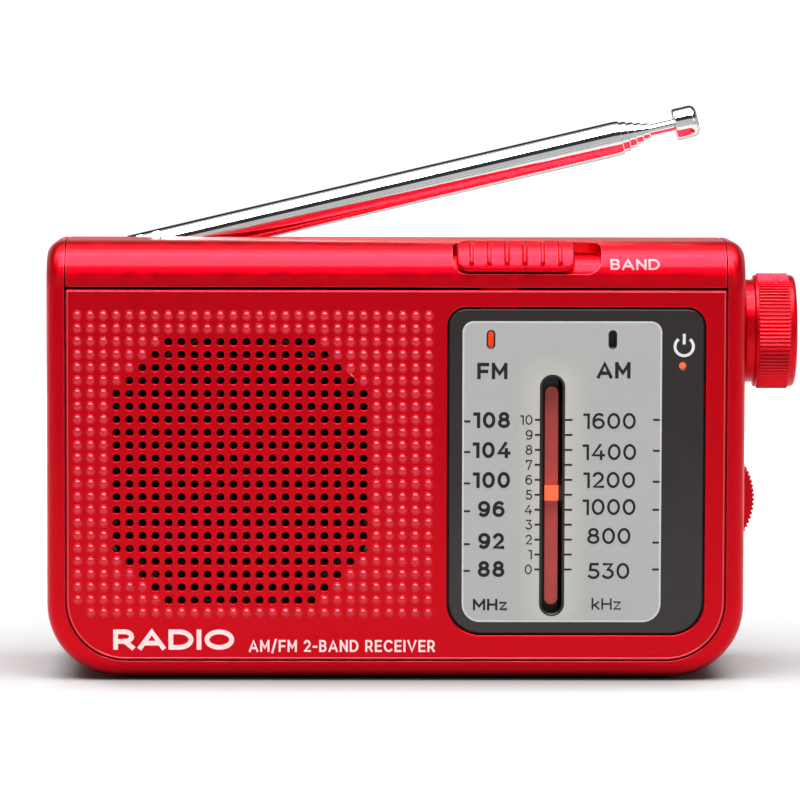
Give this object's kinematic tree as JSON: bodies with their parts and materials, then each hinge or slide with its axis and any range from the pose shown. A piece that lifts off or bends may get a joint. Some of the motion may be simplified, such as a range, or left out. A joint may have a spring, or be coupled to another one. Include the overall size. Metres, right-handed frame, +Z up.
{
  "type": "transistor pocket radio",
  "caption": "Red pocket AM/FM radio with a punched speaker grille, a vertical dial pointer, a ribbed tuning knob, a volume thumbwheel, a band slide switch and a swivelling telescopic antenna.",
  "frame": {"origin": "on the plane under the feet, midway across the case and midway through its depth", "axes": "+X to the right seen from the front, +Y from the front to the back, +Z up"},
  "size_m": [0.1277, 0.0343, 0.0964],
  "materials": {
    "red_satin": "satin metallic red paint on moulded ABS",
    "dark_gloss": "gloss, clear lens with a dark printed border",
    "scale_grey": "satin light grey print",
    "black_plastic": "fine matt",
    "orange_plastic": "bright orange",
    "red_guide": "translucent red acrylic",
    "chrome": "polished chrome plate",
    "steel": "plated steel",
    "brass": "plain",
    "white_plastic": "natural nylon",
    "lamp": "clear orange lamp lens",
    "board": "solder-masked paper board",
    "cell": "plain wrapped steel can",
    "speaker_steel": "black zinc",
    "cone_paper": "black pressed paper",
    "gasket": "foam ring",
    "ferrite": "sintered",
    "copper": "enamelled copper wire",
    "cord": "braided nylon dial cord"
  },
  "bodies": {
    "case": {"front_frame": "red_satin", "front_panel": "red_satin", "top_cover": "red_satin", "rear_case": "red_satin", "case_screws": "steel", "door_pins": "steel", "battery_tray": "black_plastic", "battery_left": "cell", "battery_right": "cell", "battery_contacts": "steel", "dial_lens": "dark_gloss", "scale_plate": "scale_grey", "dial_backing": "black_plastic", "guide_pins": "steel", "light_guide": "red_guide", "power_led": "lamp", "dial_cord": "cord", "tuning_capacitor": "white_plastic", "capacitor_bracket": "steel", "volume_control": "black_plastic", "band_switch_body": "black_plastic", "speaker_gasket": "gasket", "speaker_basket": "speaker_steel", "speaker_magnet": "speaker_steel", "speaker_cone": "cone_paper", "speaker_dust_cap": "cone_paper", "speaker_clamps": "steel", "circuit_board": "board", "if_cans": "steel", "electrolytics": "cell", "amplifier_chip": "black_plastic", "ferrite_rod": "ferrite", "ferrite_coil": "copper", "ferrite_holders": "black_plastic", "earphone_jack": "black_plastic", "antenna_lug": "brass"},
    "tuning_knob": {"tuning_knob": "red_satin", "tuning_shaft": "brass", "tuning_pinion": "white_plastic"},
    "capacitor_gear": {"tuning_gear": "white_plastic"},
    "upper_pulley": {"upper_pulley": "white_plastic"},
    "lower_pulley": {"lower_pulley": "white_plastic"},
    "pointer": {"pointer": "orange_plastic", "pointer_carriage": "black_plastic"},
    "volume_wheel": {"volume_wheel": "red_satin", "volume_shaft": "brass"},
    "band_switch": {"band_knob": "red_satin", "band_slider": "red_satin", "band_flags": "orange_plastic"},
    "battery_door": {"battery_door": "red_satin"},
    "antenna_turret": {"antenna_turret": "chrome", "turret_pin_and_nut": "chrome"},
    "antenna_base": {"antenna_knuckle": "chrome", "antenna_tube_1": "chrome"},
    "antenna_section_2": {"antenna_tube_2": "chrome"},
    "antenna_section_3": {"antenna_tube_3": "chrome"},
    "antenna_section_4": {"antenna_tube_4": "chrome"},
    "antenna_section_5": {"antenna_tube_5": "chrome"},
    "antenna_rod": {"antenna_rod": "chrome", "antenna_tip": "chrome"}
  },
  "joints": [
    {"name": "tuning", "type": "hinge", "parent": "case", "child": "tuning_knob", "pos_m": [0, 0, 0.0583], "axis": [1, 0, 0], "range_deg": [-270, 270]},
    {"name": "capacitor", "type": "hinge", "parent": "case", "child": "capacitor_gear", "pos_m": [0, -0.003, 0.04668], "axis": [1, 0, 0], "range_deg": [-90.5, 90.5]},
    {"name": "upper_pulley_spin", "type": "hinge", "parent": "case", "child": "upper_pulley", "pos_m": [0.02645, -0.00775, 0.0565], "axis": [1, 0, 0], "range_deg": [-250, 250]},
    {"name": "lower_pulley_spin", "type": "hinge", "parent": "case", "child": "lower_pulley", "pos_m": [0.02645, -0.00775, 0.009], "axis": [1, 0, 0], "range_deg": [-250, 250]},
    {"name": "pointer_slide", "type": "slide", "parent": "case", "child": "pointer", "axis": [0, 0, 1], "range_m": [-0.01297, 0.01297]},
    {"name": "volume", "type": "hinge", "parent": "case", "child": "volume_wheel", "pos_m": [0.0507, 0, 0.0298], "axis": [0, 1, 0], "range_deg": [-90, 210]},
    {"name": "band", "type": "slide", "parent": "case", "child": "band_switch", "axis": [1, 0, 0], "range_m": [0, 0.004]},
    {"name": "door", "type": "hinge", "parent": "case", "child": "battery_door", "pos_m": [0, 0.01605, 0.0036], "axis": [-1, 0, 0], "range_deg": [0, 90]},
    {"name": "antenna_swivel", "type": "hinge", "parent": "case", "child": "antenna_turret", "pos_m": [-0.0503, 0.011, 0.06963], "axis": [0, 0, 1], "range_deg": [0, 180]},
    {"name": "antenna_fold", "type": "hinge", "parent": "antenna_turret", "child": "antenna_base", "pos_m": [-0.0503, 0.011, 0.06963], "axis": [0, -1, 0], "range_deg": [-13.3, 76.66]},
    {"name": "telescope_1", "type": "slide", "parent": "antenna_base", "child": "antenna_section_2", "axis": [0.973, 0, 0.2307], "range_m": [0, 0.074]},
    {"name": "telescope_2", "type": "slide", "parent": "antenna_section_2", "child": "antenna_section_3", "axis": [0.973, 0, 0.2307], "range_m": [0, 0.0745]},
    {"name": "telescope_3", "type": "slide", "parent": "antenna_section_3", "child": "antenna_section_4", "axis": [0.973, 0, 0.2307], "range_m": [0, 0.075]},
    {"name": "telescope_4", "type": "slide", "parent": "antenna_section_4", "child": "antenna_section_5", "axis": [0.973, 0, 0.2307], "range_m": [0, 0.0755]},
    {"name": "telescope_5", "type": "slide", "parent": "antenna_section_5", "child": "antenna_rod", "axis": [0.973, 0, 0.2307], "range_m": [0, 0.078]}
  ],
  "couplings": [
    {"joint": "capacitor", "follows": "tuning", "ratio": -0.33333},
    {"joint": "upper_pulley_spin", "follows": "tuning", "ratio": 0.91667},
    {"joint": "lower_pulley_spin", "follows": "tuning", "ratio": 0.91667},
    {"joint": "pointer_slide", "follows": "tuning", "m_per_rad": -0.00275}
  ]
}
